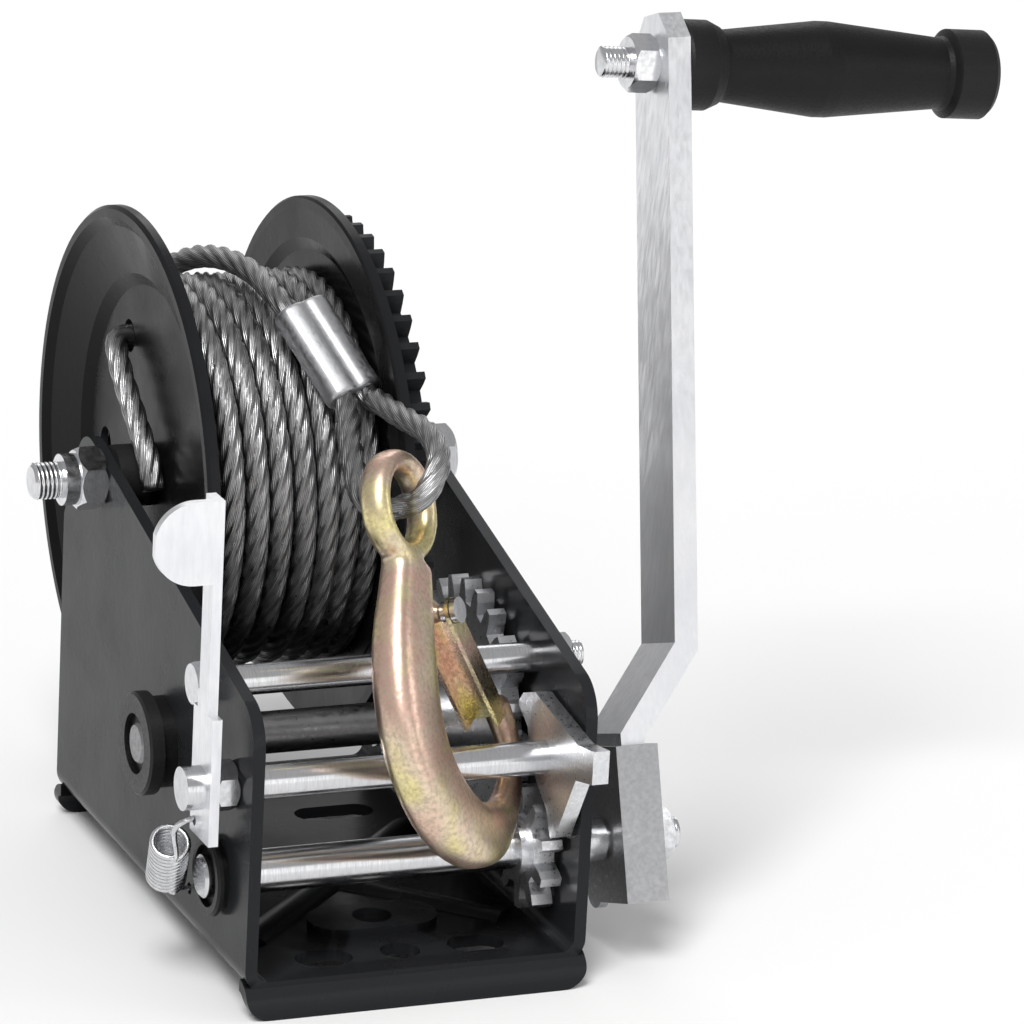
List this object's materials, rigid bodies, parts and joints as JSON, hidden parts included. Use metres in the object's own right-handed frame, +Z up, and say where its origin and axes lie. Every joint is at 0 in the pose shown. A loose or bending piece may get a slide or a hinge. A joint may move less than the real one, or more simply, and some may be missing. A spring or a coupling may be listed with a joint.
{
  "type": "boat trailer winch",
  "caption": "Hand-cranked trailer winch: channel frame, geared cable drum with wire rope and latched hook, ratchet selector and a long crank with a turning grip.",
  "frame": {"origin": "middle of the rectangle that the base stands on", "axes": "+X across the frame towards the crank, +Y to the rear, +Z up"},
  "size_m": [0.3227, 0.269, 0.2934],
  "materials": {
    "black_paint": "gloss black enamel",
    "black_plate": "gloss black enamel on pressed sheet",
    "black_bush": "satin black",
    "zinc": "bright zinc plate",
    "zinc_gear": "bright zinc plate on cut teeth",
    "dark_steel": "dark oiled steel",
    "bracket_steel": "dull zinc plate",
    "bar_zinc": "bright zinc plate on flat bar",
    "rope_steel": "galvanised stranded wire",
    "ferrule_alu": "pressed aluminium",
    "yellow_zinc": "iridescent yellow zinc plate on forged steel",
    "yellow_latch": "iridescent yellow zinc plate on sheet",
    "grip_black": "matt black, fine grained",
    "spring_steel": "bright spring wire"
  },
  "bodies": {
    "frame": {"side_frame": "black_paint", "drum_axle": "zinc", "axle_nut": "zinc", "axle_spacer_left": "black_bush", "axle_spacer_right": "black_bush", "tie_bolt": "zinc", "tie_tube": "zinc", "tie_nut": "zinc", "mid_bush_left": "black_bush", "mid_bush_right": "black_bush", "drive_bush_left": "black_bush", "drive_bush_right": "black_bush", "rope_lead": "rope_steel", "rope_ferrule": "ferrule_alu", "rope_eye": "rope_steel", "lever_spring": "spring_steel"},
    "drum": {"drum_barrel": "black_plate", "drum_flange_left": "black_plate", "drum_flange_right": "black_plate", "drum_gear": "black_paint", "rope_winding": "rope_steel", "rope_tail": "rope_steel"},
    "mid_train": {"mid_shaft": "dark_steel", "mid_gear": "zinc_gear", "mid_pinion": "zinc_gear"},
    "crank": {"drive_shaft": "zinc", "drive_pinion": "zinc_gear", "drive_nut": "zinc", "crank_bracket": "bracket_steel", "crank_arm": "bar_zinc", "grip_bolt": "zinc", "grip_nut": "zinc"},
    "grip": {"crank_grip": "grip_black"},
    "selector": {"pawl_rod": "zinc", "pawl_tube": "zinc", "pawl": "zinc_gear", "selector_lever": "bar_zinc", "lever_nut": "zinc"},
    "hook": {"hook_body": "yellow_zinc", "latch_rivet": "zinc"},
    "latch": {"hook_latch": "yellow_latch", "latch_spring": "spring_steel"}
  },
  "joints": [
    {"name": "drum_spin", "type": "hinge", "parent": "frame", "child": "drum", "pos_m": [0, 0.06, 0.132], "axis": [1, 0, 0], "continuous": true},
    {"name": "mid_spin", "type": "hinge", "parent": "frame", "child": "mid_train", "pos_m": [0, -0.01202, 0.06389], "axis": [1, 0, 0], "continuous": true},
    {"name": "crank_spin", "type": "hinge", "parent": "frame", "child": "crank", "pos_m": [0, -0.06753, 0.03801], "axis": [1, 0, 0], "continuous": true},
    {"name": "grip_spin", "type": "hinge", "parent": "crank", "child": "grip", "pos_m": [0.11309, 0.01451, 0.27628], "axis": [0.9976, -0.0227, -0.066], "continuous": true},
    {"name": "selector_tilt", "type": "hinge", "parent": "frame", "child": "selector", "pos_m": [0, -0.08, 0.073], "axis": [1, 0, 0], "range_deg": [-4, 4], "deforming": ["lever_spring"]},
    {"name": "hook_twist", "type": "hinge", "parent": "frame", "child": "hook", "pos_m": [-0.00058, -0.06473, 0.15552], "axis": [-0.2262, 0.2342, 0.9455], "range_deg": [0, 10]},
    {"name": "latch_open", "type": "hinge", "parent": "hook", "child": "latch", "pos_m": [0.01211, -0.06923, 0.12053], "axis": [-0.6568, 0.6801, -0.3256], "range_deg": [0, 26], "stiffness_Nm_per_rad": 0.02, "springref_deg": -17.19}
  ],
  "couplings": [
    {"joint": "mid_spin", "follows": "drum_spin", "ratio": -4.5455},
    {"joint": "crank_spin", "follows": "drum_spin", "ratio": 11.364}
  ]
}
